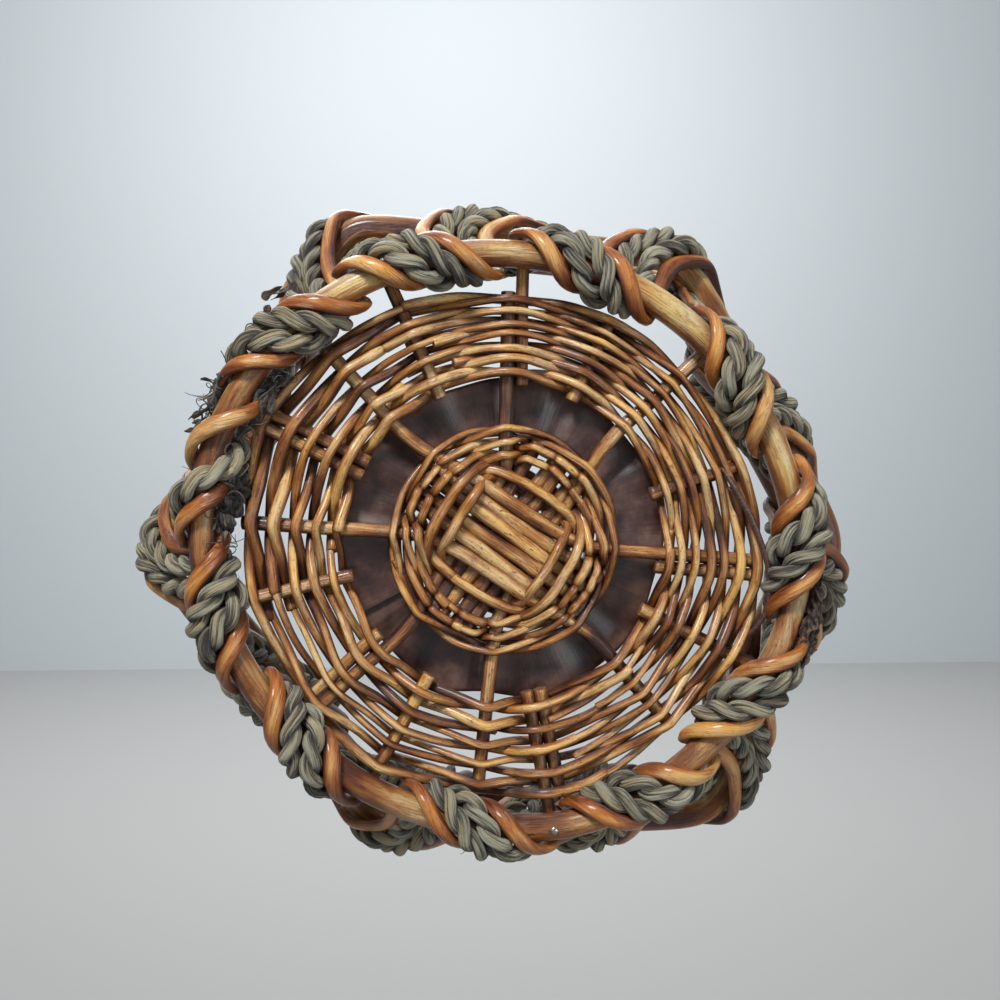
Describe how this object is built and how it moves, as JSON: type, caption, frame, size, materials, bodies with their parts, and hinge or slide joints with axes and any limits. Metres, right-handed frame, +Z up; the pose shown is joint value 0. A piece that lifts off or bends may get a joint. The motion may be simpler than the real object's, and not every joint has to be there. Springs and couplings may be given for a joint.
{
  "type": "grapevine basket",
  "caption": "Open round basket of bent willow hoops, laced together by a ribbon of seagrass rope and willow rods, over a woven willow base.",
  "frame": {"origin": "on the floor plane, below the middle of the basket: the foot ropes' flats lie at Z 0", "axes": "+Z up, out of the open mouth; X and Y lie in the floor plane, with the broken rope at about 15 degrees from +X towards +Y"},
  "size_m": [0.3407, 0.3141, 0.142],
  "materials": {
    "hoop_pole": "varnished, glossy",
    "lacing_rod": "varnished, glossy",
    "seagrass_rope": "dry plant fibre, matt",
    "base_stick": "varnished, satin",
    "band_weaver": "varnished, glossy",
    "fine_weaver": "varnished, glossy",
    "bark_splint": "dark bark, satin",
    "nail": "bright, worn"
  },
  "bodies": {
    "root": {"band_row_1": "band_weaver", "band_row_10": "band_weaver", "band_row_2": "band_weaver", "band_row_3": "band_weaver", "band_row_4": "band_weaver", "band_row_5": "band_weaver", "band_row_6": "band_weaver", "band_row_7": "band_weaver", "band_row_8": "band_weaver", "band_row_9": "band_weaver", "foot_hoop": "hoop_pole", "lacing_rod_leading": "lacing_rod", "lacing_rod_trailing": "lacing_rod", "long_stick_lower_4": "base_stick", "long_stick_lower_47": "base_stick", "long_stick_upper_137": "base_stick", "long_stick_upper_91": "base_stick", "middle_hoop": "hoop_pole", "nail_1": "nail", "rim_hoop": "hoop_pole", "rosette_row_1": "fine_weaver", "rosette_row_2": "fine_weaver", "rosette_row_3": "fine_weaver", "rosette_row_4": "fine_weaver", "seagrass_rope_leading": "seagrass_rope", "seagrass_rope_trailing": "seagrass_rope", "short_stick_lower_1": "base_stick", "short_stick_lower_2": "base_stick", "short_stick_lower_3": "base_stick", "short_stick_lower_4": "base_stick", "short_stick_upper_1": "base_stick", "short_stick_upper_2": "base_stick", "short_stick_upper_3": "base_stick", "short_stick_upper_4": "base_stick", "slath_binding_inner": "fine_weaver", "slath_binding_outer": "fine_weaver", "splint_band": "bark_splint", "stake_1": "base_stick", "stake_10": "base_stick", "stake_11": "base_stick", "stake_12": "base_stick", "stake_13": "base_stick", "stake_2": "base_stick", "stake_3": "base_stick", "stake_4": "base_stick", "stake_5": "base_stick", "stake_6": "base_stick", "stake_7": "base_stick", "stake_8": "base_stick", "stake_9": "base_stick"}
  },
  "joints": []
}
